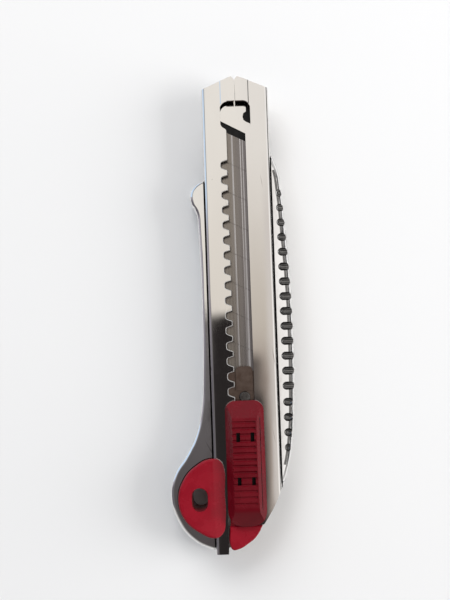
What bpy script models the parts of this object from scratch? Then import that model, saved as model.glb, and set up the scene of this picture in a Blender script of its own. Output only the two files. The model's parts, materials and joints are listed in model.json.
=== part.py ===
"""Snap-off utility knife: chromed handle, steel rail, ratchet slider and red tail fittings.

The knife lies on its back: +Y points to the nose, +X to the grooved flank and +Z up through
the slider. The origin is the middle of the outline, on the resting face. All sizes below are
millimetres. Outlines are written as (x, v): x is measured from the rail's centre line, v is
the distance from the tip of the nose towards the tail.
"""
import math

import bmesh
import bpy
from mathutils import Matrix, Vector

MM = 0.001
GAP = 0.3                      # air between two pieces that touch on the real knife

# Driving sizes
LENGTH = 157.2
LEFT_REACH = 25.3              # rail centre line to the bulb's side
RIGHT_REACH = 16.8             # rail centre line to the grooved flank
AXIS_X = (LEFT_REACH - RIGHT_REACH) / 2

# Heights above the resting face
BODY_FACE = 11.6
TROUGH_FLOOR = 7.1
RAIL_BACK = TROUGH_FLOOR + GAP
RAIL_FACE = 12.0
BUTTON_BASE = RAIL_FACE + GAP
BUTTON_TOP = 17.0

# Rail
RAIL_WIDTH = 22.2
SHEET = 0.9
BEND_RADIUS = 1.1
NOSE_RISE = 4.25               # how far the nose's corners stand back from its tip
NOSE_FLAT = 1.3                # half width of the blunt tip
SLOT_HALF = 3.15
TOOTH_PITCH = 5.0
TOOTH_COUNT = 20
FIRST_TOOTH = 28.1
WIDE_SLOT_START = 128.0
WIDE_SLOT_LEFT = -6.8
SEAM_HALF = 0.15
STRIP_LEFT = -4.6              # the raised strip between the nose's tip and the window
STRIP_RIGHT = 4.4
STRIP_RISE = 0.2
STRIP_SLOPE = 0.27
WINDOW_TOP = 8.2
RECESS_DEPTH = 0.45
PLUG_START = 147.9
FLOOR_IN_RAIL = RAIL_BACK + SHEET
ROOF_IN_RAIL = RAIL_FACE - SHEET

# Blade
BLADE_WIDTH = 18.0
BLADE_THICK = 0.5
BLADE_LENGTH = 100.0
BLADE_TIP = 15.3
BLADE_SLANT = 9.0              # how far the front edge runs back across the width
BLADE_LOW = 8.6
SEGMENT = 10.0
SCORE_COUNT = 8
SCORE_DEPTH = 0.12
SCORE_WIDTH = 0.25
EDGE_BEVEL = 1.8
BLADE_HOLE = 106.5
BLADE_HOLE_RADIUS = 1.6

# Carrier, keeper and pawl, all at the retracted stop
PLATE_LOW = 9.4
PLATE_HIGH = 10.6
PLATE_FRONT = 98.0
PLATE_BACK = 143.0
PLATE_HALF = 9.3
NECK_HALF = 2.8
NECK_TOP = 12.75
TONGUE_FRONT = 96.4
TONGUE_BACK = 104.3
TONGUE_TOP = 11.6
PAWL_LOW = 10.95
PAWL_HIGH = 12.7
PAWL_FRONT = 111.5
PAWL_BACK = 118.1
PAWL_TRAVEL = 2.0
PAWL_NOTCH = 17                # the notch it sits in with the blade drawn right back
PIN_X = 0.3
PIN_V = 114.8
PIN_RADIUS = 0.55
PIN_TOP = 15.0
PIN_CLEARANCE = 0.03
KEEPER_LOW = 13.05
KEEPER_HIGH = 14.0
KEEPER_HALF = 4.4

# Slider button
BUTTON_X = -0.4
BUTTON_HALF = 6.3
BUTTON_FRONT = 107.5
BUTTON_BACK = 148.1
BUTTON_CORNERS = (3.2, 5.0)    # corner radius at the front end and at the rear end
BUTTON_TRAVEL = 2.0
CAVITY_HALF = 5.0
CAVITY_TOP = 15.3
RIB_GROOVES = 14
RIB_PITCH = 2.01
FIRST_RIB_GROOVE = 114.35
RIB_GROOVE_HALF = 0.62
RIB_GROOVE_FLOOR = 16.25
WINDOW_OFFSET = 2.3
WINDOW_HALF = 0.6
WINDOWS = {"front": (119.1, 1.5), "rear": (133.2, 1.3)}    # station and half length
HOOK_REACH = 3.6               # the hooks that hold the keeper plate start this far from the middle
HOOK_FRONT = 0.7               # short at the front, where the pawl swings past them

# Handle
FRONT_RADIUS = (1.2, 2.0)      # front rim, growing from the finger stop's side to the grooved flank
FRONT_RADIUS_RUN = (-9.0, 12.0)
BACK_RADIUS = 2.6
GROOVE_PITCH = 4.9
FIRST_GROOVE = 39.5
GROOVE_LEFT = 12.45
GROOVE_RADIUS = 1.4
GROOVE_AXIS = BODY_FACE + 0.15
OPEN_GROOVES = 14              # the grooves that run out through the flank
CLOSED_GROOVES = [(108.5, 15.9), (113.45, 15.7), (118.4, 15.4), (123.35, 14.9)]    # station and right end
CORE_STATIONS = (53.0, 67.0, 81.0, 103.0, 115.5)
CORE_HALF = (7.0, 5.5)
CORE_FLOOR = 2.4

# Lanyard hole
HOLE_X = -15.75
HOLE_V = 139.1
HOLE_RADIUS = 2.6
HOLE_STRAIGHT = 2.5
BOSS_WALL = 1.2
INSERT_SEAT = 10.8
INSERT_TOP = 13.8
INSERT_CREASE = -11.1          # the flat top falls away to the right of this line

# The handle's outline around the tail, from the flank to the rail's left edge
TAIL_CURVE = [(13.3, 131.3), (10.5, 138.6), (7.0, 145.3), (2.6, 150.9), (-3.4, 154.9), (-9.0, 156.2)]

RIVET_SHANK = 1.5
PEG_SHANK = 1.2
KEEPER_SHANK = 0.7
RAIL_RIVETS = {"rail_rivet_front": 44.0, "rail_rivet_middle": 92.0, "rail_rivet_rear": 126.0}
KEEPER_RIVETS = {"keeper_rivet_front": 123.6, "keeper_rivet_rear": 130.2}


def clear_scene():
    for old in list(bpy.data.objects):
        bpy.data.objects.remove(old, do_unlink=True)


def collection(name):
    made = bpy.data.collections.new(name)
    bpy.context.scene.collection.children.link(made)
    return made


def point(x, v, z=0.0):
    """A place on the knife in metres, from rail-axis x, nose distance v and height z."""
    return Vector(((AXIS_X + x) * MM, (LENGTH / 2 - v) * MM, z * MM))


def material(name, colour, roughness, metallic):
    made = bpy.data.materials.new(name)
    made.use_nodes = True
    shader = made.node_tree.nodes["Principled BSDF"]
    shader.inputs["Base Color"].default_value = (*colour, 1.0)
    shader.inputs["Roughness"].default_value = roughness
    shader.inputs["Metallic"].default_value = metallic
    return made


def finish_part(part, finish):
    part.data.materials.clear()
    part.data.materials.append(finish)
    part.data.shade_smooth()
    part.data.set_sharp_from_angle(angle=math.radians(30))
    PARTS.objects.link(part)
    return part


def as_cutter(part):
    part.hide_render = True
    part.display_type = "WIRE"
    CUTTERS.objects.link(part)
    return part


def cut(target, cutter, operation="DIFFERENCE"):
    """Boolean one object against another; the cutter is put away with the other cutters."""
    boolean = target.modifiers.new(cutter.name, "BOOLEAN")
    boolean.operation = operation
    boolean.solver = "EXACT"
    boolean.object = cutter
    if not cutter.users_collection:
        as_cutter(cutter)


def object_from(name, mesh_builder):
    mesh = bpy.data.meshes.new(name)
    bmesh.ops.recalc_face_normals(mesh_builder, faces=mesh_builder.faces)
    mesh_builder.to_mesh(mesh)
    mesh_builder.free()
    return bpy.data.objects.new(name, mesh)


def is_cap(face):
    return abs(face.normal.z) > 0.999


def prism(name, nodes, low, high, resolution=8):
    """Solid between two heights from an outline of (x, v) corners and (x, v, "smooth") nodes."""
    curve = bpy.data.curves.new(name, "CURVE")
    curve.dimensions = "2D"
    curve.fill_mode = "BOTH"
    curve.extrude = (high - low) / 2 * MM
    curve.resolution_u = resolution
    spline = curve.splines.new("BEZIER")
    spline.bezier_points.add(len(nodes) - 1)
    spline.use_cyclic_u = True
    for knot, node in zip(spline.bezier_points, nodes):
        knot.co = point(node[0], node[1])
        handle = "AUTO" if len(node) == 3 else "VECTOR"
        knot.handle_left_type = handle
        knot.handle_right_type = handle
    flat = bpy.data.objects.new(name + "_outline", curve)
    bpy.context.scene.collection.objects.link(flat)
    view = bpy.context.evaluated_depsgraph_get()
    mesh = bpy.data.meshes.new_from_object(flat.evaluated_get(view))
    mesh.transform(Matrix.Translation((0, 0, (low + high) / 2 * MM)))
    builder = bmesh.new()
    builder.from_mesh(mesh)
    bmesh.ops.remove_doubles(builder, verts=builder.verts, dist=0.002 * MM)
    builder.normal_update()
    for side in (1, -1):
        cap = [face for face in builder.faces if is_cap(face) and face.normal.z * side > 0]
        bmesh.ops.dissolve_faces(builder, faces=cap)
    bpy.data.objects.remove(flat)
    bpy.data.curves.remove(curve)
    bpy.data.meshes.remove(mesh)
    return object_from(name, builder)


def box(name, x_range, v_range, z_range):
    """Block between two values of x, of v and of z."""
    builder = bmesh.new()
    bmesh.ops.create_cube(builder, size=1.0)
    near = point(x_range[0], v_range[1], z_range[0])
    far = point(x_range[1], v_range[0], z_range[1])
    for vertex in builder.verts:
        vertex.co = Vector([(near[i] + far[i]) / 2 + vertex.co[i] * (far[i] - near[i]) for i in range(3)])
    return object_from(name, builder)


def side_prism(name, profile, x_range):
    """Solid between two values of x from a side profile of (v, z) corners."""
    return extruded(name, [(x_range[0], v, z) for v, z in profile], (x_range[1] - x_range[0], 0))


def end_prism(name, profile, v_range):
    """Solid between two values of v from an end profile of (x, z) corners."""
    return extruded(name, [(x, v_range[0], z) for x, z in profile], (0, v_range[1] - v_range[0]))


def extruded(name, corners, run):
    builder = bmesh.new()
    face = builder.faces.new([builder.verts.new(point(*corner)) for corner in corners])
    grown = bmesh.ops.extrude_face_region(builder, geom=[face])
    moved = [item for item in grown["geom"] if isinstance(item, bmesh.types.BMVert)]
    bmesh.ops.translate(builder, verts=moved, vec=(run[0] * MM, -run[1] * MM, 0))
    return object_from(name, builder)


def turned(name, profile, x, v, steps=20):
    """Turned piece on a vertical axis; the profile of (radius, z) runs from top to bottom."""
    mesh = bpy.data.meshes.new(name)
    mesh.from_pydata([(radius * MM, 0, z * MM) for radius, z in profile],
                     [(i, i + 1) for i in range(len(profile) - 1)], [])
    part = bpy.data.objects.new(name, mesh)
    part.location = point(x, v)
    screw = part.modifiers.new("turn", "SCREW")
    screw.steps = steps
    screw.render_steps = steps
    screw.use_merge_vertices = True
    screw.merge_threshold = 0.0001 * MM
    return part


def hole(name, x, v, radius, z_range, steps=16):
    """Round cutter on a vertical axis, from one height up to another."""
    low, high = z_range
    return turned(name, [(0.0, high), (radius, high), (radius, low), (0.0, low)], x, v, steps)


def arc(x, v, radius, start, sweep, steps):
    """Points of an arc as (x, v); angles in degrees, turning from +x towards the nose."""
    angles = [math.radians(start + sweep * i / steps) for i in range(steps + 1)]
    return [(x + radius * math.cos(angle), v - radius * math.sin(angle)) for angle in angles]


def stadium(x, v, radius, straight, steps=10):
    """Outline of a slot with round ends, its straight part running along the knife."""
    front = arc(x, v - straight / 2, radius, 0, 180, steps)
    return front + arc(x, v + straight / 2, radius, 180, 180, steps)


def front_radius(x):
    """Radius of the handle's front rim at a distance x from the rail's centre line."""
    start, end = FRONT_RADIUS_RUN
    share = min(max((x - start) / (end - start), 0.0), 1.0)
    return FRONT_RADIUS[0] + (FRONT_RADIUS[1] - FRONT_RADIUS[0]) * share


def round_edges(part, low, high, low_radius, high_radius, segments=4):
    """Round the rims of a prism: a radius at the bottom, and a radius or a function of x at the top."""
    top_radius = high_radius if callable(high_radius) else lambda x: high_radius
    widest = max(low_radius, max(top_radius(x) for x in (-LEFT_REACH, RIGHT_REACH)))
    builder = bmesh.new()
    builder.from_mesh(part.data)
    weight = builder.edges.layers.float.new("bevel_weight_edge")
    for edge in builder.edges:
        if len(edge.link_faces) != 2 or sum(is_cap(face) for face in edge.link_faces) != 1:
            continue
        height = edge.verts[0].co.z / MM
        if abs(height - low) < 0.01:
            edge[weight] = low_radius / widest
        elif abs(height - high) < 0.01:
            middle = (edge.verts[0].co.x + edge.verts[1].co.x) / 2 / MM - AXIS_X
            edge[weight] = top_radius(middle) / widest
    builder.to_mesh(part.data)
    builder.free()
    bevel = part.modifiers.new("rims", "BEVEL")
    bevel.limit_method = "WEIGHT"
    bevel.width = widest * MM
    bevel.segments = segments
    bevel.use_clamp_overlap = False


def smooth(points):
    return [(x, v, "smooth") for x, v in points]


def body_outline():
    right = [(13.5, 31.4), (14.6, 39.5), (15.6, 54.0), (16.5, 70.0), (RIGHT_REACH, 88.0), (16.5, 104.5),
             (15.7, 118.5)]
    bulb = [(-12.6, 155.5), (-18.4, 152.4), (-23.1, 146.3), (-LEFT_REACH, 137.6), (-23.6, 130.3),
            (-20.0, 125.0), (-16.6, 118.5), (-14.5, 110.0), (-13.7, 101.0)]
    finger_stop = [(-13.6, 50.0), (-14.1, 45.2), (-15.7, 42.0), (-15.8, 38.2), (-13.9, 35.7)]
    edge = RAIL_WIDTH / 2 + GAP * 2
    return [(edge, 26.6)] + smooth(right + TAIL_CURVE + bulb + finger_stop) + [(-edge, 34.3)]


def build_handle(finish):
    body = prism("handle_body", body_outline(), 0.0, BODY_FACE, resolution=7)
    round_edges(body, 0.0, BODY_FACE, BACK_RADIUS, front_radius)
    half = RAIL_WIDTH / 2 + GAP
    cut(body, box("trough", (-half, half), (0.0, LENGTH + 5), (TROUGH_FLOOR, BODY_FACE + 2)))
    cut(body, prism("insert_seat", insert_outline(GAP), INSERT_SEAT, BODY_FACE + 2))
    opening = stadium(HOLE_X, HOLE_V, HOLE_RADIUS + BOSS_WALL + GAP, HOLE_STRAIGHT)
    cut(body, prism("boss_opening", opening, -1.0, BODY_FACE + 1))
    grooves = [(FIRST_GROOVE + i * GROOVE_PITCH, RIGHT_REACH + 3) for i in range(OPEN_GROOVES)]
    for number, (station, end) in enumerate(grooves + CLOSED_GROOVES, 1):
        cut(body, grip_groove("grip_groove_%02d" % number, end, station))
    half_x, half_v = CORE_HALF
    for number, station in enumerate(CORE_STATIONS, 1):
        sides = (station - half_v, station + half_v)
        cut(body, box("core_pocket_%d" % number, (-half_x, half_x), sides, (CORE_FLOOR, TROUGH_FLOOR + 1)))
    shank = RIVET_SHANK + GAP
    head = 2.4 + GAP
    for name, station in RAIL_RIVETS.items():
        profile = [(0.0, 9.0), (shank, 9.0), (shank, 1.0), (head, 1.0), (head, -1.0), (0.0, -1.0)]
        cut(body, turned(name + "_hole", profile, 0.0, station, steps=16))
    return finish_part(body, finish)


def grip_groove(name, end, station):
    """Cutter for one finger groove: a ball drawn out across the knife as far as its right end."""
    builder = bmesh.new()
    bmesh.ops.create_uvsphere(builder, u_segments=16, v_segments=7, radius=GROOVE_RADIUS * MM,
                              matrix=Matrix.Rotation(math.pi / 2, 4, "Y"))
    stretch = (end - GROOVE_LEFT - 2 * GROOVE_RADIUS) * MM
    for vertex in builder.verts:
        if vertex.co.x > 0:
            vertex.co.x += stretch
        vertex.co += point(GROOVE_LEFT + GROOVE_RADIUS, station, GROOVE_AXIS)
    return object_from(name, builder)


def rack_notch(top):
    """One notch of the rack; the teeth between the notches narrow towards the slot."""
    return [(-SLOT_HALF, top), (-4.85, top + 0.5), (-5.15, top + 0.68), (-5.28, top + 1.0),
            (-5.28, top + 2.1), (-5.15, top + 2.42), (-4.85, top + 2.62), (-4.1, top + 2.95),
            (-3.5, top + 3.12), (-SLOT_HALF - 0.07, top + 3.3), (-SLOT_HALF, top + 3.5)]


def slot_outline():
    """Seam, window, slot, rack and wide loading end, as one outline through the front flanges."""
    seam_mouth = [(0.8, -1.0), (0.8, 0.3), (0.4, 0.6), (SEAM_HALF, 1.1)]
    left = [(-x, v) for x, v in seam_mouth]
    left += [(-SEAM_HALF, WINDOW_TOP), (-2.7, WINDOW_TOP), (-3.4, 8.35), (-4.1, 8.8), (-4.7, 9.5),
             (-5.0, 10.3), (-5.0, 16.0), (-4.7, 16.7), (-4.2, 17.2), (-3.5, 17.6), (-SLOT_HALF, 18.1)]
    for number in range(TOOTH_COUNT):
        left += rack_notch(FIRST_TOOTH + number * TOOTH_PITCH)
    left += [(-SLOT_HALF, WIDE_SLOT_START), (WIDE_SLOT_LEFT, WIDE_SLOT_START + 2),
             (WIDE_SLOT_LEFT, LENGTH + 2)]
    right = [(RAIL_WIDTH, LENGTH + 2), (RAIL_WIDTH, PLUG_START), (SLOT_HALF, PLUG_START),
             (SLOT_HALF, 18.6), (3.5, 17.9), (4.2, 17.3), (4.8, 16.6), (5.0, 15.9), (5.0, 10.3),
             (4.7, 9.4), (4.1, 8.75), (3.4, 8.35), (2.7, WINDOW_TOP), (SEAM_HALF, WINDOW_TOP)]
    return left + right + seam_mouth[::-1]


def rounded_section(half, low, high, radius, steps=5):
    """End profile of a rectangle with round corners, as (x, z)."""
    centres = [(half - radius, high - radius, 0), (-half + radius, high - radius, 90),
               (-half + radius, low + radius, 180), (half - radius, low + radius, 270)]
    profile = []
    for x, z, start in centres:
        for step in range(steps + 1):
            angle = math.radians(start + 90 * step / steps)
            profile.append((x + radius * math.cos(angle), z + radius * math.sin(angle)))
    return profile


def build_rail(finish):
    half = RAIL_WIDTH / 2
    section = rounded_section(half, RAIL_BACK, RAIL_FACE, BEND_RADIUS)
    rail = end_prism("blade_channel", section, (0.0, LENGTH))
    strip = [(STRIP_LEFT - STRIP_SLOPE, RAIL_FACE), (STRIP_LEFT - STRIP_SLOPE, RAIL_FACE - 0.2),
             (STRIP_RIGHT + STRIP_SLOPE, RAIL_FACE - 0.2), (STRIP_RIGHT + STRIP_SLOPE, RAIL_FACE),
             (STRIP_RIGHT, RAIL_FACE + STRIP_RISE), (STRIP_LEFT, RAIL_FACE + STRIP_RISE)]
    cut(rail, end_prism("nose_strip", strip, (0.5, WINDOW_TOP + 1)), "UNION")
    inner = rounded_section(half - SHEET, FLOOR_IN_RAIL, ROOF_IN_RAIL, BEND_RADIUS - SHEET, steps=1)
    cut(rail, end_prism("rail_inside", inner, (-1.0, LENGTH + 1)))
    cut(rail, prism("rail_slot", slot_outline(), ROOF_IN_RAIL - 0.7, RAIL_FACE + 1))
    for name, side in (("left", -1), ("right", 1)):
        outside = side * (half + 2)
        gable = [(0.0, -1.0), (0.0, 0.0), (side * NOSE_FLAT, 0.0), (side * half, NOSE_RISE),
                 (outside, NOSE_RISE + 0.8), (outside, -1.0)]
        cut(rail, prism("nose_gable_" + name, gable, RAIL_BACK - 1, RAIL_FACE + 1))
    tail = [(half + 3, 131.3)] + smooth([(x - GAP, v - 0.2) for x, v in TAIL_CURVE[:-1]])
    tail += [(-6.9, 155.6), (-6.9, LENGTH + 3), (half + 3, LENGTH + 3)]
    cut(rail, prism("rail_tail", tail, RAIL_BACK - 1, RAIL_FACE + 1))
    recess = (FLOOR_IN_RAIL - RECESS_DEPTH, FLOOR_IN_RAIL + 0.5)
    groove = [(-9.5, 11.6), (9.5, 21.9), (9.5, 24.4), (-9.5, 14.9)]
    cut(rail, prism("snap_groove", groove, *recess))
    pocket = [(6.0, 9.3), (3.7, 9.3), (3.7, 11.0), (2.8, 11.6), (2.5, 12.8), (2.8, 13.9), (3.7, 14.6),
              (6.0, 15.6)]
    cut(rail, prism("nose_pocket", pocket, *recess))
    shank = RIVET_SHANK + GAP
    for name, station in RAIL_RIVETS.items():
        sunk = [(0.0, 9.3), (2.7, 9.3), (2.7, FLOOR_IN_RAIL - 0.1), (shank, FLOOR_IN_RAIL - 0.6),
                (shank, 6.0), (0.0, 6.0)]
        cut(rail, turned(name + "_sink", sunk, 0.0, station, steps=16))
    return finish_part(rail, finish)


def build_rail_rivets(finish):
    low = FLOOR_IN_RAIL
    profile = [(0.0, low - 0.05), (2.3, low - 0.05), (2.3, low - 0.2), (RIVET_SHANK, low - 0.8),
               (RIVET_SHANK, 0.9), (2.4, 0.6), (2.2, 0.3), (0.0, 0.3)]
    for name, station in RAIL_RIVETS.items():
        finish_part(turned(name, profile, 0.0, station), finish)


def build_blade(finish):
    half = BLADE_WIDTH / 2
    slant = BLADE_SLANT
    back = BLADE_TIP + BLADE_LENGTH
    outline = [(-half, BLADE_TIP), (half, BLADE_TIP + slant), (half, back), (-half, back - slant)]
    blade = prism("snap_blade", outline, BLADE_LOW, BLADE_LOW + BLADE_THICK)
    high = BLADE_LOW + BLADE_THICK
    middle = BLADE_LOW + BLADE_THICK / 2
    beyond = 1.0
    for label, face, edge in (("upper", high, middle + 0.05), ("lower", BLADE_LOW, middle - 0.05)):
        out = face + (face - middle) * 2
        wedge = [(-half + EDGE_BEVEL, face), (-half - beyond, edge - (face - edge) / EDGE_BEVEL),
                 (-half - beyond, out), (-half + EDGE_BEVEL, out)]
        cut(blade, end_prism("edge_bevel_" + label, wedge, (BLADE_TIP - 5, back + 5)))
    overrun = beyond * slant / BLADE_WIDTH
    for number in range(1, SCORE_COUNT + 1):
        station = BLADE_TIP + number * SEGMENT
        near, far = station - overrun, station + slant + overrun
        score = [(-half - beyond, near), (half + beyond, far), (half + beyond, far + SCORE_WIDTH),
                 (-half - beyond, near + SCORE_WIDTH)]
        cut(blade, prism("score_%d" % number, score, high - SCORE_DEPTH, high + 1))
    cut(blade, hole("blade_hole", 0.0, BLADE_HOLE, BLADE_HOLE_RADIUS, (BLADE_LOW - 1, high + 1)))
    return finish_part(blade, finish)


def build_carrier(finish):
    corner = 3.0
    plate = [(-PLATE_HALF, PLATE_FRONT + corner), (-PLATE_HALF + corner, PLATE_FRONT),
             (PLATE_HALF - corner, PLATE_FRONT), (PLATE_HALF, PLATE_FRONT + corner),
             (PLATE_HALF, PLATE_BACK - 6), (PLATE_HALF - 4.5, PLATE_BACK), (-PLATE_HALF + 0.3, PLATE_BACK),
             (-PLATE_HALF, PLATE_BACK - 0.3)]
    carrier = prism("blade_carrier", plate, PLATE_LOW, PLATE_HIGH)
    sunk = PLATE_HIGH - 0.3
    tongue = arc(-NECK_HALF + 1.4, TONGUE_FRONT + 1.4, 1.4, 180, -90, 4)
    tongue += arc(NECK_HALF - 1.4, TONGUE_FRONT + 1.4, 1.4, 90, -90, 4)
    tongue += [(NECK_HALF, TONGUE_BACK), (-NECK_HALF, TONGUE_BACK)]
    cut(carrier, prism("carrier_tongue", tongue, PLATE_LOW + 0.2, TONGUE_TOP), "UNION")
    blocks = {"neck_front": (108.6, PAWL_FRONT - GAP), "neck_rear": (PAWL_BACK + GAP, 138.0)}
    for name, stations in blocks.items():
        cut(carrier, box(name, (-NECK_HALF, NECK_HALF), stations, (sunk, NECK_TOP)), "UNION")
    wall = box("neck_wall", (NECK_HALF - 0.6, NECK_HALF), (110.0, 120.0), (sunk, NECK_TOP - 0.1))
    cut(carrier, wall, "UNION")
    cut(carrier, hole("peg_hole", 0.0, BLADE_HOLE, PEG_SHANK + GAP, (BLADE_LOW, NECK_TOP)))
    for name, station in KEEPER_RIVETS.items():
        cut(carrier, hole(name + "_hole", 0.0, station, KEEPER_SHANK + GAP, (BLADE_LOW, NECK_TOP + 1)))
    return finish_part(carrier, finish)


def build_peg(finish):
    under_head = PLATE_HIGH + GAP
    profile = [(0.0, 11.4), (1.5, 11.4), (1.75, 11.3), (1.85, 11.1), (1.85, under_head),
               (PEG_SHANK, under_head), (PEG_SHANK, 8.5), (0.0, 8.5)]
    finish_part(turned("blade_peg", profile, 0.0, BLADE_HOLE), finish)


def build_pawl(finish):
    tip = -SLOT_HALF + 0.2
    tooth = FIRST_TOOTH + PAWL_NOTCH * TOOTH_PITCH
    outline = [(1.3, PAWL_FRONT), (-0.8, PAWL_FRONT), (-0.8, tooth + 0.35), (tip + 0.55, tooth + 0.95),
               (tip, tooth + 1.4), (tip, tooth + 2.0), (tip + 0.45, tooth + 2.4), (-0.8, tooth + 2.9),
               (-0.8, PAWL_BACK), (1.3, PAWL_BACK)]
    pawl = prism("lock_pawl", outline, PAWL_LOW, PAWL_HIGH)
    heights = (PAWL_LOW - 1, PAWL_HIGH + 1)
    cut(pawl, hole("pin_hole", PIN_X, PIN_V, PIN_RADIUS + PIN_CLEARANCE, heights, steps=12))
    return finish_part(pawl, finish)


def build_cam_pin(finish):
    profile = [(0.0, PIN_TOP), (PIN_RADIUS, PIN_TOP), (PIN_RADIUS, PAWL_LOW), (0.0, PAWL_LOW)]
    finish_part(turned("cam_pin", profile, PIN_X, PIN_V, steps=12), finish)


def build_lock_spring(finish):
    left = 1.62
    middle = (PAWL_FRONT + PAWL_BACK) / 2
    outline = [(left + 0.05, PAWL_FRONT + 0.1), (left, middle), (left + 0.05, PAWL_BACK - 0.1),
               (left + 0.25, PAWL_BACK - 0.1), (left + 0.2, middle), (left + 0.25, PAWL_FRONT + 0.1)]
    return finish_part(prism("lock_spring", outline, PAWL_LOW, PAWL_HIGH - 0.2), finish)


def build_keeper(finish):
    left, right = BUTTON_X - KEEPER_HALF, BUTTON_X + KEEPER_HALF
    outline = [(left, 111.9), (left + 1, 110.9), (right - 1, 110.9), (right, 111.9), (right, 140.0),
               (left, 140.0)]
    keeper = prism("keeper_plate", outline, KEEPER_LOW, KEEPER_HIGH)
    reach = PIN_RADIUS + GAP
    path = (PIN_X - PAWL_TRAVEL - reach, PIN_X + reach)
    cut(keeper, box("pin_path", path, (PIN_V - reach, PIN_V + reach), (KEEPER_LOW - 1, KEEPER_HIGH + 1)))
    for name, station in KEEPER_RIVETS.items():
        heights = (KEEPER_LOW - 1, KEEPER_HIGH + 1)
        cut(keeper, hole(name + "_clearance", 0.0, station, KEEPER_SHANK + GAP, heights))
    return finish_part(keeper, finish)


def build_keeper_rivets(finish):
    under_head = KEEPER_HIGH + GAP
    profile = [(0.0, 14.6), (1.2, 14.5), (1.5, under_head), (KEEPER_SHANK, under_head), (KEEPER_SHANK, 9.6),
               (0.0, 9.6)]
    for name, station in KEEPER_RIVETS.items():
        finish_part(turned(name, profile, 0.0, station, steps=16), finish)


def button_plan():
    """Rounded rectangle seen from above, as (x, v)."""
    front, rear = BUTTON_CORNERS
    outline = []
    corners = ((1, BUTTON_FRONT + front, front, 0), (-1, BUTTON_FRONT + front, front, 90),
               (-1, BUTTON_BACK - rear, rear, 180), (1, BUTTON_BACK - rear, rear, 270))
    for side, v, radius, start in corners:
        outline += arc(BUTTON_X + side * (BUTTON_HALF - radius), v, radius, start, 90, 8)
    return outline


def build_button(finish):
    button = prism("slider_button", button_plan(), BUTTON_BASE, BUTTON_TOP + 1)
    shoulder = BUTTON_TOP - 0.3
    side = [(BUTTON_FRONT - 1, 11.0), (BUTTON_FRONT - 1, 12.9), (BUTTON_FRONT, 13.5), (112.8, 16.4),
            (114.4, 16.6), (127.0, shoulder), (141.5, 16.5), (143.5, 16.2), (BUTTON_BACK, 13.6),
            (BUTTON_BACK + 1, 13.0), (BUTTON_BACK + 1, 11.0)]
    cut(button, side_prism("button_side", side, (-10.0, 10.0)), "INTERSECT")
    left, right = BUTTON_X - BUTTON_HALF, BUTTON_X + BUTTON_HALF
    facet = right - 2.9
    end = [(left - 0.2, 11.0), (left, 13.4), (left + 2.3, shoulder), (left + 2.6, BUTTON_TOP),
           (facet, BUTTON_TOP), (facet + 0.3, shoulder), (right, 13.4), (right + 0.2, 11.0)]
    cut(button, end_prism("button_end", end, (BUTTON_FRONT - 2, BUTTON_BACK + 2)), "INTERSECT")
    for number in range(RIB_GROOVES):
        v = FIRST_RIB_GROOVE + number * RIB_PITCH
        front, back = v - RIB_GROOVE_HALF, v + RIB_GROOVE_HALF
        groove = [(front, BUTTON_TOP + 1), (front, shoulder), (v - 0.2, RIB_GROOVE_FLOOR),
                  (v + 0.2, RIB_GROOVE_FLOOR), (back, shoulder), (back, BUTTON_TOP + 1)]
        cut(button, side_prism("rib_groove_%02d" % (number + 1), groove, (left - 1, facet)))
    cavity = [(108.3, 10.0), (108.3, 13.1), (110.4, 13.1), (110.4, 14.35), (112.9, 14.35),
              (112.9, CAVITY_TOP), (142.6, CAVITY_TOP), (142.6, 10.0)]
    sides = (BUTTON_X - CAVITY_HALF, BUTTON_X + CAVITY_HALF)
    cut(button, side_prism("button_cavity", cavity, sides))
    add_cam_rib(button)
    for place, (station, half_length) in WINDOWS.items():
        ends = (station - half_length, station + half_length)
        for side_name, side in (("left", -1), ("right", 1)):
            label = place + "_" + side_name
            x = BUTTON_X + side * WINDOW_OFFSET
            cut(button, box("window_" + label, (x - WINDOW_HALF, x + WINDOW_HALF), ends, (14.0, 18.0)))
            reach = sorted((BUTTON_X + side * HOOK_REACH, BUTTON_X + side * (CAVITY_HALF + 0.3)))
            heights = (BUTTON_BASE + 0.05, BUTTON_BASE + 0.45)
            hook = box("hook_" + label, reach, (station - HOOK_FRONT, ends[1]), heights)
            cut(button, hook, "UNION")
    return finish_part(button, finish)


def add_cam_rib(button):
    """Rib under the crown with the slanted slot that draws the pawl's pin sideways."""
    reach = PIN_RADIUS + GAP
    wall = 0.8
    x_range = (PIN_X - BUTTON_TRAVEL - reach - wall, PIN_X + reach + wall)
    v_range = (PIN_V - reach - wall, PIN_V + BUTTON_TRAVEL + reach + wall)
    cut(button, box("cam_rib", x_range, v_range, (KEEPER_HIGH + GAP, CAVITY_TOP + 0.3)), "UNION")
    outline = arc(PIN_X, PIN_V, reach, -45, 180, 6)
    outline += arc(PIN_X - BUTTON_TRAVEL, PIN_V + BUTTON_TRAVEL, reach, 135, 180, 6)
    cut(button, prism("cam_slot", outline, KEEPER_HIGH - 0.5, CAVITY_TOP))


def grown(nodes, distance):
    """The outline moved outwards by a distance, node by node; nodes run against the clock in (x, v)."""
    moved = []
    for i, node in enumerate(nodes):
        before, after = nodes[i - 1], nodes[(i + 1) % len(nodes)]
        run = Vector((after[0] - before[0], after[1] - before[1])).normalized()
        moved.append((node[0] + run.y * distance, node[1] - run.x * distance))
    return moved


def insert_outline(grow=0.0):
    """The D shape: straight side over the rail, round side towards the bulb."""
    nodes = [(-8.9, 126.7), (-7.7, 129.0), (-7.6, 137.0), (-7.6, 145.8), (-8.5, 150.0), (-10.9, 151.6),
             (-16.2, 149.7), (-21.0, 145.3), (-22.8, 139.2), (-21.1, 132.9), (-16.6, 128.1), (-11.8, 126.1)]
    return smooth(grown(nodes, grow))


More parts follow.
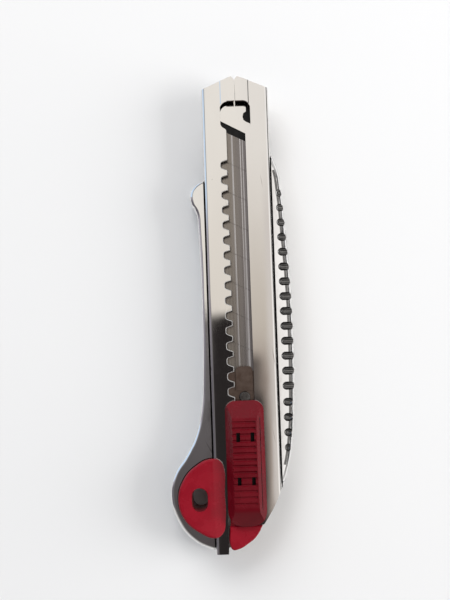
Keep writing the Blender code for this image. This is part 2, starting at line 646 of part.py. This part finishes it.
def build_insert(finish):
    insert = prism("lanyard_insert", insert_outline(), INSERT_SEAT + GAP, INSERT_TOP)
    round_edges(insert, INSERT_SEAT + GAP, INSERT_TOP, 0.0, 0.8)
    edge = INSERT_CREASE - 0.4
    cut(insert, box("rail_step", (edge, 0.0), (120.0, LENGTH), (9.0, RAIL_FACE + GAP)))
    facet = [(INSERT_CREASE, INSERT_TOP), (-5.0, INSERT_TOP - 1.6), (-5.0, INSERT_TOP + 1),
             (INSERT_CREASE, INSERT_TOP + 1)]
    cut(insert, end_prism("insert_facet", facet, (120.0, LENGTH)))
    boss = stadium(HOLE_X, HOLE_V, HOLE_RADIUS + BOSS_WALL, HOLE_STRAIGHT)
    cut(insert, prism("lanyard_boss", boss, 0.5, INSERT_SEAT + 1), "UNION")
    eye = stadium(HOLE_X, HOLE_V, HOLE_RADIUS, HOLE_STRAIGHT)
    cut(insert, prism("lanyard_hole", eye, -1.0, INSERT_TOP + 1))
    return finish_part(insert, finish)


def build_plug(finish):
    low = FLOOR_IN_RAIL + GAP
    front = PLUG_START + GAP
    curve = smooth([(2.4, 151.6), (-0.6, 154.1), (-3.6, 155.7), (-5.4, 155.9), (-6.2, 155.0)])
    plug = prism("end_plug", [(-6.3, front), (4.4, front)] + curve, low, RAIL_FACE)
    round_edges(plug, low, RAIL_FACE, 0.0, 0.5)
    tongue = (front - 4.1, front + 0.8)
    cut(plug, box("plug_tongue", (-6.0, 3.4), tongue, (low, ROOF_IN_RAIL - GAP)), "UNION")
    return finish_part(plug, finish)


clear_scene()
PARTS = collection("utility_knife")
CUTTERS = collection("cutters")

CHROME = material("chromed_zinc", (0.80, 0.79, 0.77), 0.12, 1.0)
STAINLESS = material("stainless_steel", (0.74, 0.72, 0.69), 0.20, 1.0)
BLADE_STEEL = material("blade_steel", (0.42, 0.40, 0.38), 0.28, 1.0)
CARRIER_STEEL = material("dull_steel", (0.26, 0.23, 0.21), 0.45, 1.0)
SPRING_STEEL = material("spring_steel", (0.50, 0.50, 0.50), 0.30, 1.0)
RED_PLASTIC = material("red_plastic", (0.42, 0.012, 0.028), 0.35, 0.0)

build_handle(CHROME)
build_rail(STAINLESS)
build_rail_rivets(STAINLESS)
build_blade(BLADE_STEEL)
build_carrier(CARRIER_STEEL)
build_peg(STAINLESS)
build_pawl(SPRING_STEEL)
build_cam_pin(SPRING_STEEL)
build_lock_spring(SPRING_STEEL)
build_keeper(CARRIER_STEEL)
build_keeper_rivets(SPRING_STEEL)
build_button(RED_PLASTIC)
build_insert(RED_PLASTIC)
build_plug(RED_PLASTIC)
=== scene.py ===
"""Looks of the snap-off utility knife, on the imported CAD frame."""
import json
import math

import bmesh
import bpy
from mathutils import Matrix, Vector

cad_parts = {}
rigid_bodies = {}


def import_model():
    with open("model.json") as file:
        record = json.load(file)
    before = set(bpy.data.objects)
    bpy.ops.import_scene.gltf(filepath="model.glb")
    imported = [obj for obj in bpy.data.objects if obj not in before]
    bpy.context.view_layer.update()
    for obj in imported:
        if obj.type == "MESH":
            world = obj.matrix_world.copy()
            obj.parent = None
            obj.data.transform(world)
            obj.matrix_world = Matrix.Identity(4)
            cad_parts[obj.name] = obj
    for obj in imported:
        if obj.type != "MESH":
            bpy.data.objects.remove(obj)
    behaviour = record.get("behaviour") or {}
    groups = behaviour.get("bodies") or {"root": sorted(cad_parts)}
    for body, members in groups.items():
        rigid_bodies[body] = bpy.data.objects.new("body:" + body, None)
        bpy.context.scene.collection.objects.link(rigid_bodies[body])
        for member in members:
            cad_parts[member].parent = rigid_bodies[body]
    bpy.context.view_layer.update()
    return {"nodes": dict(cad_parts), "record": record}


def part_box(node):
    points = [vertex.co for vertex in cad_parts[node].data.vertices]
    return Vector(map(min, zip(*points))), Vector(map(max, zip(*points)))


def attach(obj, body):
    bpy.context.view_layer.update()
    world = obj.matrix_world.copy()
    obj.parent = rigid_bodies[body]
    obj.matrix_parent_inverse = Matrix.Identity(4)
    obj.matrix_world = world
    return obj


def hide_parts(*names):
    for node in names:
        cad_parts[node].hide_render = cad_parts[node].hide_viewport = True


for old in list(bpy.data.objects):
    bpy.data.objects.remove(old, do_unlink=True)
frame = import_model()
MM = 0.001
MICRON = 0.000001
SLOTS = {row["node"]: row["material_slot"] for row in frame["record"]["subparts"]}
BODY_OF = {node: body for body, nodes in frame["record"]["behaviour"]["bodies"].items() for node in nodes}

# Places read from the frame
rail_low, rail_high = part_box("blade_channel")
insert_low, insert_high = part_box("lanyard_insert")
HANDLE_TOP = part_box("handle_body")[1].z
AXIS_X = (rail_low.x + rail_high.x) / 2


# ---------------------------------------------------------------- shader nodes
def new_material(name, colour, roughness, metallic):
    material = bpy.data.materials.new(name)
    material.use_nodes = True
    shader = material.node_tree.nodes["Principled BSDF"]
    shader.inputs["Base Color"].default_value = (*colour, 1.0)
    shader.inputs["Roughness"].default_value = roughness
    shader.inputs["Metallic"].default_value = metallic
    return material, material.node_tree, shader


def paint(tree, shader, colour, roughness):
    """Drive a material's colour and roughness by shader nodes, over its plain values."""
    tree.links.new(colour, shader.inputs["Base Color"])
    tree.links.new(roughness, shader.inputs["Roughness"])


def directions(tree, output):
    """X, Y and Z of a texture place."""
    place = tree.nodes.new("ShaderNodeTexCoord")
    split = tree.nodes.new("ShaderNodeSeparateXYZ")
    tree.links.new(place.outputs[output], split.inputs["Vector"])
    return [split.outputs[axis] for axis in "XYZ"]


def object_space(tree, scale, turn):
    """Texture place in the knife's own metres, turned about Z and stretched by a scale for each axis."""
    place = tree.nodes.new("ShaderNodeTexCoord")
    stretch = tree.nodes.new("ShaderNodeMapping")
    stretch.vector_type = "TEXTURE"
    stretch.inputs["Rotation"].default_value = (0.0, 0.0, turn)
    stretch.inputs["Scale"].default_value = [1.0 / amount for amount in scale]
    tree.links.new(place.outputs["Object"], stretch.inputs["Vector"])
    return stretch.outputs["Vector"]


NOISE_ROUGHNESS = 0.55


def noise(tree, scale, detail, turn=0.0):
    """A noise whose features are about 1 / scale metres, for each axis."""
    node = tree.nodes.new("ShaderNodeTexNoise")
    node.inputs["Scale"].default_value = 1.0
    node.inputs["Detail"].default_value = detail
    node.inputs["Roughness"].default_value = NOISE_ROUGHNESS
    tree.links.new(object_space(tree, scale, turn), node.inputs["Vector"])
    return node.outputs["Fac"]


def spread(tree, value, low, high, out_low, out_high, interpolation="LINEAR"):
    """A value between low and high, brought to between out_low and out_high and held beyond them."""
    node = tree.nodes.new("ShaderNodeMapRange")
    node.interpolation_type = interpolation
    node.inputs["From Min"].default_value = low
    node.inputs["From Max"].default_value = high
    node.inputs["To Min"].default_value = out_low
    node.inputs["To Max"].default_value = out_high
    tree.links.new(value, node.inputs["Value"])
    return node.outputs["Result"]


def ease(tree, value, low, high):
    """Smooth step from 0 at low to 1 at high; low may be the larger of the two."""
    if low < high:
        return spread(tree, value, low, high, 0.0, 1.0, "SMOOTHSTEP")
    return spread(tree, value, high, low, 1.0, 0.0, "SMOOTHSTEP")


def colours(tree, value, *stops):
    """Ramp through stops, each a place from 0 to 1 and the colour there."""
    ramp = tree.nodes.new("ShaderNodeValToRGB")
    while len(ramp.color_ramp.elements) < len(stops):
        ramp.color_ramp.elements.new(0.5)
    for element, (place, colour) in zip(ramp.color_ramp.elements, stops):
        element.position = place
        element.color = (*colour, 1.0)
    tree.links.new(value, ramp.inputs["Fac"])
    return ramp.outputs["Color"]


def bump(tree, shader, value, depth):
    """Relief in a material, its depth in metres."""
    node = tree.nodes.new("ShaderNodeBump")
    node.inputs["Strength"].default_value = 1.0
    node.inputs["Distance"].default_value = depth
    tree.links.new(value, node.inputs["Height"])
    tree.links.new(node.outputs["Normal"], shader.inputs["Normal"])


def arithmetic(tree, operation, first, second=0.0):
    node = tree.nodes.new("ShaderNodeMath")
    node.operation = operation
    for socket, value in zip(node.inputs, (first, second)):
        if isinstance(value, (int, float)):
            socket.default_value = value
        else:
            tree.links.new(value, socket)
    return node.outputs["Value"]


def all_of(tree, *masks):
    """Mask of what lies in every one of the masks."""
    total = masks[0]
    for mask in masks[1:]:
        total = arithmetic(tree, "MULTIPLY", total, mask)
    return total


def distance(tree, value, middle):
    return arithmetic(tree, "ABSOLUTE", arithmetic(tree, "SUBTRACT", value, middle))


def layer(tree, below, above, mask):
    """One colour over another, through a mask; a plain colour may stand for either."""
    node = tree.nodes.new("ShaderNodeMix")
    node.data_type = "RGBA"
    tree.links.new(mask, node.inputs["Factor"])
    for name, value in (("A", below), ("B", above)):
        socket = [item for item in node.inputs if item.name == name and item.type == "RGBA"][0]
        if isinstance(value, tuple):
            socket.default_value = (*value, 1.0)
        else:
            tree.links.new(value, socket)
    return [item for item in node.outputs if item.type == "RGBA"][0]


def scratches(tree, turn):
    """Mask of a few fine lines in one direction, 0 nearly everywhere."""
    line = noise(tree, (1500, 35, 1500), 1, turn)
    patch = noise(tree, (90, 90, 90), 2, turn)
    return all_of(tree, spread(tree, line, 0.72, 0.76, 0.0, 1.0), spread(tree, patch, 0.52, 0.60, 0.0, 1.0))


# ---------------------------------------------------------------- materials
RAIL_SHEET = 0.9 * MM          # thickness of the rail's steel


def chrome():
    material, tree, shader = new_material("chromed_casting", (0.88, 0.87, 0.86), 0.06, 1.0)
    smudge = noise(tree, (70, 40, 70), 3)
    clean = colours(tree, smudge, (0.3, (0.88, 0.87, 0.86)), (0.75, (0.80, 0.79, 0.78)))
    paint(tree, shader, layer(tree, clean, (0.45, 0.43, 0.42), scratches(tree, 0.5)),
          spread(tree, smudge, 0.35, 0.7, 0.03, 0.065))
    bump(tree, shader, noise(tree, (260, 220, 260), 2), 6 * MICRON)
    return material


def raw_casting_painted_shade():
    """The casting where polishing and plating don't reach: dull, and painted near-black for the shade in
    the trough and pockets beside the rail and the insert.
    """
    material, tree, shader = new_material("unpolished_casting_painted_shade", (0.05, 0.048, 0.046), 0.6, 0.6)
    grit = noise(tree, (900, 900, 900), 4)
    paint(tree, shader, colours(tree, grit, (0.3, (0.030, 0.028, 0.027)), (0.7, (0.075, 0.070, 0.066))),
          spread(tree, grit, 0.3, 0.7, 0.5, 0.75))
    bump(tree, shader, grit, 20 * MICRON)
    return material


def groove_casting_painted_shade():
    """The plating inside the finger grooves, painted dark grey for the shade that falls in the grooves."""
    material, tree, shader = new_material("grooves_painted_shade", (0.5, 0.49, 0.48), 0.16, 1.0)
    grit = noise(tree, (600, 600, 600), 3)
    paint(tree, shader, colours(tree, grit, (0.3, (0.12, 0.117, 0.114)), (0.7, (0.22, 0.215, 0.21))),
          spread(tree, grit, 0.3, 0.7, 0.12, 0.24))
    return material


def beneath_blade(tree):
    """Mask of the rail's inner floor where the blade slides over it, behind the window, where the floor is
    painted darker for the shade under the blade.
    """
    x, y, z = directions(tree, "Object")
    on_floor = spread(tree, distance(tree, z, rail_low.z + RAIL_SHEET), 0.35 * MM, 0.25 * MM, 0.0, 1.0)
    inside = spread(tree, distance(tree, x, AXIS_X), 10.2 * MM, 9.8 * MM, 0.0, 1.0)
    behind = spread(tree, y, rail_high.y - 20 * MM, rail_high.y - 24 * MM, 0.0, 1.0)
    return all_of(tree, on_floor, inside, behind)


def rail_steel():
    """Polished strip with fine marks, and its floor under the blade painted dark, for the shade under the
    blade together with a dull oily film.
    """
    material, tree, shader = new_material("rail_steel", (0.83, 0.81, 0.79), 0.045, 1.0)
    cloud = noise(tree, (60, 25, 60), 3)
    clean = colours(tree, cloud, (0.3, (0.84, 0.82, 0.80)), (0.7, (0.80, 0.78, 0.76)))
    marked = layer(tree, clean, (0.40, 0.37, 0.35), scratches(tree, 0.15))
    speck = spread(tree, noise(tree, (420, 420, 420), 1), 0.80, 0.83, 0.0, 1.0)
    marked = layer(tree, marked, (0.20, 0.18, 0.17), speck)
    # Painted shade: the floor under the blade is darkened as if in the blade's shade, and an oily film adds
    # roughness there
    oil_and_shade = beneath_blade(tree)
    under_blade_grain = noise(tree, (500, 12, 500), 3)
    dull = colours(tree, under_blade_grain, (0.3, (0.10, 0.092, 0.086)), (0.7, (0.24, 0.225, 0.21)))
    smudge = noise(tree, (140, 60, 140), 3)
    polish = spread(tree, smudge, 0.45, 0.75, 0.025, 0.05)
    film = arithmetic(tree, "MULTIPLY", oil_and_shade, 0.3)
    paint(tree, shader, layer(tree, marked, dull, oil_and_shade), arithmetic(tree, "ADD", polish, film))
    bump(tree, shader, noise(tree, (90, 30, 90), 2), 4 * MICRON)
    return material


def recess_steel_painted_shade():
    """The pressed recesses under the nose window, painted near-black for the shade in them."""
    material, tree, shader = new_material("recess_painted_shade", (0.02, 0.018, 0.017), 0.35, 0.0)
    # The film noise only varies the darkness and polish of the painted shade
    film = noise(tree, (700, 200, 700), 3)
    paint(tree, shader, colours(tree, film, (0.35, (0.005, 0.005, 0.005)), (0.75, (0.022, 0.020, 0.019))),
          spread(tree, film, 0.3, 0.7, 0.28, 0.50))
    shader.inputs["Specular IOR Level"].default_value = 0.25
    return material


def sheared_edge_highlight():
    """The rail's punched edges along the rack: a burnished satin, lighter than the rail, that gives the
    teeth's rim a painted highlight.
    """
    material, tree, shader = new_material("sheared_edge_highlight", (0.86, 0.85, 0.84), 0.36, 1.0)
    grain = noise(tree, (1200, 1200, 1200), 2)
    paint(tree, shader, colours(tree, grain, (0.3, (0.78, 0.77, 0.76)), (0.7, (0.92, 0.91, 0.90))),
          spread(tree, grain, 0.3, 0.7, 0.30, 0.44))
    return material


def blade_steel():
    """Ground carbon steel, browner and lighter on its left and greyer and darker on its right, with painted
    bright lengthwise reflection streaks.
    """
    material, tree, shader = new_material("blade_steel", (0.38, 0.35, 0.32), 0.30, 1.0)
    streak = noise(tree, (900, 8, 900), 5)
    line = noise(tree, (1500, 3, 1500), 1)
    x, _, _ = directions(tree, "Object")
    across = spread(tree, x, AXIS_X - 3 * MM, AXIS_X + 3 * MM, 0.0, 1.0)
    brown = colours(tree, streak, (0.3, (0.24, 0.215, 0.19)), (0.55, (0.34, 0.305, 0.27)),
                    (0.75, (0.46, 0.43, 0.40)))
    grey = colours(tree, streak, (0.3, (0.17, 0.155, 0.16)), (0.55, (0.26, 0.24, 0.245)),
                   (0.75, (0.40, 0.38, 0.39)))
    ground = layer(tree, brown, grey, across)
    # Painted reflection: thin bright lengthwise streaks over the ground steel
    bright = spread(tree, line, 0.58, 0.66, 0.0, 0.85)
    paint(tree, shader, layer(tree, ground, (0.74, 0.72, 0.73), bright),
          spread(tree, streak, 0.3, 0.7, 0.20, 0.34))
    bump(tree, shader, streak, 2 * MICRON)
    return material


def plain_steel(name, dark, light, roughness):
    """Steel with faint clouds in its colour and polish."""
    material, tree, shader = new_material(name, light, roughness, 1.0)
    cloud = noise(tree, (500, 500, 500), 4)
    paint(tree, shader, colours(tree, cloud, (0.3, dark), (0.7, light)),
          spread(tree, cloud, 0.3, 0.7, roughness - 0.08, roughness + 0.08))
    bump(tree, shader, cloud, 10 * MICRON)
    return material


def red_plastic(name, dark, light, roughness):
    """Moulded plastic: faint clouds in its colour and polish, and a fine moulded texture."""
    material, tree, shader = new_material(name, light, roughness, 0.0)
    cloud = noise(tree, (160, 160, 160), 3)
    paint(tree, shader, colours(tree, cloud, (0.3, dark), (0.7, light)),
          spread(tree, cloud, 0.3, 0.7, roughness - 0.05, roughness + 0.09))
    bump(tree, shader, noise(tree, (2500, 2500, 2500), 2), 4 * MICRON)
    shader.inputs["Specular IOR Level"].default_value = 0.2
    return material


FINISH = {
    "chrome_body": chrome(),
    "rail_steel": rail_steel(),
    "blade_steel": blade_steel(),
    "dull_steel": plain_steel("dull_steel", (0.11, 0.075, 0.06), (0.19, 0.14, 0.115), 0.42),
    "pin_steel": plain_steel("pin_steel", (0.16, 0.15, 0.15), (0.26, 0.25, 0.25), 0.30),
    "red_plastic": red_plastic("red_plastic", (0.21, 0.004, 0.012), (0.26, 0.006, 0.016), 0.24),
}
# Pieces whose finish differs from their slot's
OWN_FINISH = {
    "slider_button": red_plastic("slider_plastic", (0.095, 0.002, 0.006), (0.125, 0.003, 0.008), 0.24),
    # The keeper plate: blackened steel, painted darker still for the shade it lies in under the windows
    "keeper_plate": plain_steel("blackened_steel_painted_shade", (0.012, 0.011, 0.011), (0.03, 0.028, 0.027), 0.45),
    # The blade's peg: darker steel than the other pins
    "blade_peg": plain_steel("peg_dark_steel", (0.07, 0.062, 0.058), (0.16, 0.15, 0.145), 0.26),
}


# ---------------------------------------------------------------- where a piece changes its finish, and where painted shade and highlight go
SEAT_MARGIN = 0.4 * MM         # how far the trough and the insert's seat reach past what lies in them
TROUGH_FLOOR = 2.0 * MM
TROUGH_RIM = 0.25 * MM         # below the casting's face
GRIP_START = 0.9 * MM          # right of the rail
GROOVE_DEPTHS = (-1.6 * MM, -0.02 * MM)
RECESS_END = 26 * MM           # behind the nose
RECESS_DEPTHS = (0.2 * MM, 0.86 * MM)


def in_trough(centre, normal):
    """The casting's hidden faces, which get painted shade: the trough under the rail, its pockets and the
    insert's seat.
    """
    under_rail = rail_low.x - SEAT_MARGIN < centre.x < rail_high.x + SEAT_MARGIN
    middle, reach = (insert_low + insert_high) / 2, (insert_high - insert_low) / 2
    aside = (centre.x - middle.x) / (reach.x + SEAT_MARGIN)
    ahead = (centre.y - middle.y) / (reach.y + SEAT_MARGIN)
    under_insert = aside ** 2 + ahead ** 2 < 1.0
    return TROUGH_FLOOR < centre.z < HANDLE_TOP - TROUGH_RIM and (under_rail or under_insert)


def in_groove(centre, normal):
    """The scoops of the grip, which get painted shade: right of the rail and below the casting's face; not
    the flank.
    """
    lowest, highest = GROOVE_DEPTHS
    scooped = lowest < centre.z - HANDLE_TOP < highest
    flank = abs(normal.x) >= 0.8 * (1 - abs(normal.z)) + 0.35
    return centre.x > rail_high.x + GRIP_START and scooped and not flank


def in_recess(centre, normal):
    """The two recesses pressed into the rail's floor under the nose window, which get painted shade."""
    lowest, highest = RECESS_DEPTHS
    return centre.y > rail_high.y - RECESS_END and lowest < centre.z - rail_low.z < highest


def on_rack_edge(centre, normal):
    """The rounded rim of the rack's teeth on the rail's outer face, on its faces not turned toward the
    tail, which get the painted highlight.
    """
    beside = -5.8 * MM < centre.x - AXIS_X < -2.7 * MM
    between = rail_low.y + 28 * MM < centre.y < rail_high.y - 17 * MM
    # Only faces not turned toward the tail get the painted highlight
    rounded = 0.05 < normal.z < 0.985 and normal.y > -0.3
    return beside and between and rounded and centre.z > rail_high.z - 0.6 * MM


# The trough, the grip's grooves and the nose recesses take painted shade; the rack's rim takes a painted
# highlight
CHANGES = {
    "handle_body": [(raw_casting_painted_shade(), in_trough), (groove_casting_painted_shade(), in_groove)],
    "blade_channel": [(recess_steel_painted_shade(), in_recess), (sheared_edge_highlight(), on_rack_edge)],
}


# ---------------------------------------------------------------- pieces
SMOOTH = math.radians(32)      # corners flatter than this are shaded as one surface
SHARP = math.radians(40)       # edges sharper than this get a small round
FLAT = math.radians(0.3)       # faces that meet flatter than this are joined
MAIN_SHARE = 0.25              # a face this small beside its neighbour takes the neighbour's normal
ROUND_SEGMENTS = 3
WELD = 0.002 * MM              # points of the CAD mesh nearer than this are one
WELD_ROUNDS = 0.00002 * MM     # the same after the rounds, where faces without area would be left
RACK_RIM = 0.28 * MM           # round on the rack's teeth
EDGE = 0.05 * MM               # round on a piece that EDGES doesn't name
EDGES = {"handle_body": 0.15 * MM, "blade_channel": 0.12 * MM, "slider_button": 0.12 * MM,
         "lanyard_insert": 0.15 * MM, "end_plug": 0.12 * MM, "snap_blade": 0.02 * MM}


def shade(mesh):
    """Smooth shading that keeps large flats truly flat, so that they mirror without waves."""
    builder = bmesh.new()
    builder.from_mesh(mesh)
    areas = [face.calc_area() for face in builder.faces]
    normals = []
    for face in builder.faces:
        for corner in face.loops:
            near = [other for other in corner.vert.link_faces
                    if other.normal.angle(face.normal, 0) < SMOOTH]
            most = max([areas[other.index] for other in near] or [areas[face.index]])
            total = Vector()
            for other in near or [face]:
                if areas[other.index] >= MAIN_SHARE * most:
                    total += other.normal * areas[other.index]
            normals.append(total.normalized())
    builder.free()
    mesh.shade_smooth()
    mesh.normals_split_custom_set(normals)


def weld(builder, reach):
    bmesh.ops.remove_doubles(builder, verts=builder.verts, dist=reach)


def round_off(builder, belongs, width):
    """Round every edge that belongs."""
    edges = [edge for edge in builder.edges if belongs(edge)]
    bmesh.ops.bevel(builder, geom=edges, offset=width, offset_type="OFFSET", segments=ROUND_SEGMENTS,
                    profile=0.5, affect="EDGES", clamp_overlap=True)


def is_sharp(edge):
    return len(edge.link_faces) == 2 and edge.calc_face_angle(0) > SHARP


def on_rack_rim(edge):
    """Whether an edge of the rail runs along the rack's teeth on the outer face."""
    return is_sharp(edge) and all(
        vertex.co.z > rail_high.z - 0.3 * MM and -5.7 * MM < vertex.co.x - AXIS_X < -2.9 * MM
        and rail_low.y + 29 * MM < vertex.co.y < rail_high.y - 18.5 * MM for vertex in edge.verts)


def refine(node):
    """Replace a CAD node by a copy with welded points, flat faces joined and its sharp edges rounded."""
    builder = bmesh.new()
    builder.from_mesh(frame["nodes"][node].data)
    weld(builder, WELD)
    bmesh.ops.dissolve_limit(builder, angle_limit=FLAT, verts=builder.verts, edges=builder.edges)
    if node == "blade_channel":
        round_off(builder, on_rack_rim, RACK_RIM)
    round_off(builder, is_sharp, EDGES.get(node, EDGE))
    weld(builder, WELD_ROUNDS)
    mesh = bpy.data.meshes.new(node + "_look")
    builder.to_mesh(mesh)
    builder.free()
    shade(mesh)
    piece = bpy.data.objects.new(node + "_look", mesh)
    bpy.context.scene.collection.objects.link(piece)
    mesh.materials.append(OWN_FINISH.get(node, FINISH[SLOTS[node]]))
    for index, (finish, belongs) in enumerate(CHANGES.get(node, []), 1):
        mesh.materials.append(finish)
        for face in mesh.polygons:
            if belongs(face.center, face.normal):
                face.material_index = index
    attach(piece, BODY_OF[node])
    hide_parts(node)


for node in frame["nodes"]:
    refine(node)


# ---------------------------------------------------------------- studio
FLOOR_SIZE = 6.0

# Tones of the sky; a pair turns from the first into the second
CREAM = (0.83, 0.785, 0.72), (0.95, 0.92, 0.87)
RIGHT_CREAM = (0.62, 0.565, 0.50), (0.92, 0.89, 0.85)
BROWN_FADE = (0.36, 0.30, 0.26)
BEND_GREY = (0.72, 0.68, 0.65)
SMEAR = (0.13, 0.11, 0.10)
RIM_WHITE = (1.02, 1.00, 0.98)
LEFT_GREY = (0.165, 0.155, 0.16)
LEFT_BLACK = (0.09, 0.08, 0.082)
PATCH_BLACK = (0.024, 0.021, 0.021)
RIGHT_WALL = (0.08, 0.08, 0.08), (0.19, 0.185, 0.19)
LEFT_SLOPE = (0.17, 0.165, 0.17)
LEFT_WALL = (0.14, 0.13, 0.15), (0.42, 0.40, 0.45)
BLUE_WINDOW = (0.66, 0.82, 1.02)
NOSE_WALL = (0.15, 0.15, 0.15), (0.62, 0.615, 0.61)
SOFTBOX = (0.95, 0.93, 0.92)
TAIL_WALL = (0.11, 0.107, 0.105), (0.58, 0.57, 0.56)
UNDERSIDE = (0.55, 0.55, 0.54)


def make_floor():
    bpy.ops.mesh.primitive_plane_add(size=FLOOR_SIZE, location=(0, 0, 0))
    floor = bpy.context.object
    floor.name = "studio_floor"
    material, _, _ = new_material("studio_floor", (0.77, 0.765, 0.76), 0.75, 0.0)
    floor.data.materials.append(material)


def within(tree, *limits):
    """Mask of the sky past every limit: a direction, where the mask starts and where it is full."""
    return all_of(tree, *(ease(tree, value, start, full) for value, start, full in limits))


def paint_ceiling(tree, across, along):
    """What the knife's upward faces mirror: cream, with a dark patch over the tail."""
    left = layer(tree, *CREAM, within(tree, (along, 0.03, 0.26)))
    right = layer(tree, *RIGHT_CREAM, within(tree, (along, 0.0, 0.25)))
    sky = layer(tree, left, right, within(tree, (across, 0.01, 0.03)))
    sky = layer(tree, sky, BROWN_FADE, within(tree, (along, 0.03, -0.05), (across, 0.0, 0.02)))
    sky = layer(tree, sky, BEND_GREY, within(tree, (across, 0.040, 0.047), (along, 0.22, 0.12)))
    sky = layer(tree, sky, SMEAR, within(tree, (along, -0.004, -0.024), (across, 0.044, 0.026)))
    sky = layer(tree, sky, RIM_WHITE, within(tree, (across, 0.050, 0.056)))
    leftward = (across, -0.020, -0.0235)
    sky = layer(tree, sky, LEFT_GREY, within(tree, (along, 0.055, 0.020), leftward))
    sky = layer(tree, sky, LEFT_BLACK, within(tree, (along, -0.02, -0.18), leftward))

    # The dark patch: its front edge slants, and it is wider beside the slider
    slanted = arithmetic(tree, "SUBTRACT", along, arithmetic(tree, "MULTIPLY", across, 0.10))
    patch = within(tree, (slanted, 0.0395, 0.026), (along, -0.28, -0.25), (across, -0.0225, -0.0195))
    beside_slider = within(tree, (along, -0.045, -0.07), (across, 0.042, 0.032))
    right_end = arithmetic(tree, "MAXIMUM", within(tree, (across, 0.028, 0.010)), beside_slider)
    return layer(tree, sky, PATCH_BLACK, all_of(tree, patch, right_end))


def paint_walls(tree, sky, east, north, up):
    """What the knife's sides, rounds and slopes mirror: the lower sky, by side and height."""
    right = layer(tree, *RIGHT_WALL, within(tree, (north, -0.2, 0.8)))
    sky = layer(tree, sky, right, within(tree, (up, 0.66, 0.54), (east, 0.1, 0.3)))
    sky = layer(tree, sky, LEFT_SLOPE, within(tree, (up, 0.965, 0.94), (east, -0.1, -0.25)))
    left = layer(tree, *LEFT_WALL, within(tree, (north, -0.06, 0.09)))
    left = layer(tree, left, BLUE_WINDOW, within(tree, (north, 0.11, 0.17)))
    sky = layer(tree, sky, left, within(tree, (up, 0.88, 0.84), (east, -0.1, -0.3)))

    lowness = within(tree, (up, 0.88, 0.45))
    noseward = within(tree, (north, 0.31, 0.42), (east, -0.5, -0.25))
    sky = layer(tree, sky, layer(tree, *NOSE_WALL, lowness), noseward)
    softbox = within(tree, (north, 0.72, 0.76), (north, 0.90, 0.86), (up, 0.3, 0.4))
    sky = layer(tree, sky, SOFTBOX, all_of(tree, softbox, noseward))
    sky = layer(tree, sky, layer(tree, *TAIL_WALL, lowness), within(tree, (north, -0.28, -0.42)))
    return layer(tree, UNDERSIDE, sky, within(tree, (up, -0.02, 0.02)))


def make_world():
    """A bright studio with a dark shape over the knife's tail, as polished metal mirrors it.

    East is the knife's right and north its nose. The ceiling's directions are read on a flat ceiling:
    across is X / Z and along is Y / Z of the direction.
    """
    world = bpy.data.worlds.new("studio")
    bpy.context.scene.world = world
    world.use_nodes = True
    tree = world.node_tree
    east, north, up = directions(tree, "Generated")
    height = arithmetic(tree, "MAXIMUM", up, 0.02)
    across = arithmetic(tree, "DIVIDE", east, height)
    along = arithmetic(tree, "DIVIDE", north, height)
    sky = paint_walls(tree, paint_ceiling(tree, across, along), east, north, up)
    tree.links.new(sky, tree.nodes["Background"].inputs["Color"])
    tree.nodes["Background"].inputs["Strength"].default_value = 1.0


def make_light(name, place, size, power):
    """Soft lamp aimed at the knife; polished metal mirrors the studio's walls instead of it."""
    light = bpy.data.lights.new(name, "AREA")
    light.size = size
    light.energy = power
    lamp = bpy.data.objects.new(name, light)
    lamp.location = place
    lamp.rotation_euler = Vector(place).to_track_quat("Z", "Y").to_euler()
    lamp.visible_glossy = False
    bpy.context.scene.collection.objects.link(lamp)


def make_camera(place, forward, up, lens):
    """Camera at a place in metres, with its view direction, its up side and its lens in millimetres."""
    camera = bpy.data.cameras.new("camera")
    camera.lens = lens
    camera.sensor_width = 36.0
    holder = bpy.data.objects.new("camera", camera)
    bpy.context.scene.collection.objects.link(holder)
    forward = Vector(forward).normalized()
    right = forward.cross(Vector(up)).normalized()
    up = right.cross(forward)
    rotation = Matrix((right, up, -forward)).transposed()
    holder.matrix_world = Matrix.Translation(place) @ rotation.to_4x4()
    bpy.context.scene.camera = holder


make_floor()
make_world()
make_light("key", place=(-0.4, 1.1, 0.9), size=1.0, power=15.0)
make_light("fill", place=(1.1, 0.0, 0.5), size=0.8, power=14.0)
# Almost straight above the knife, the tail a little nearer and the nose leaning left
make_camera(place=(-0.00038, -0.01026, 0.3127), forward=(-0.0027, 0.0479, -0.9988),
            up=(0.0340, 0.9983, 0.0478), lens=54.9)
bpy.context.scene.view_settings.view_transform = "Standard"
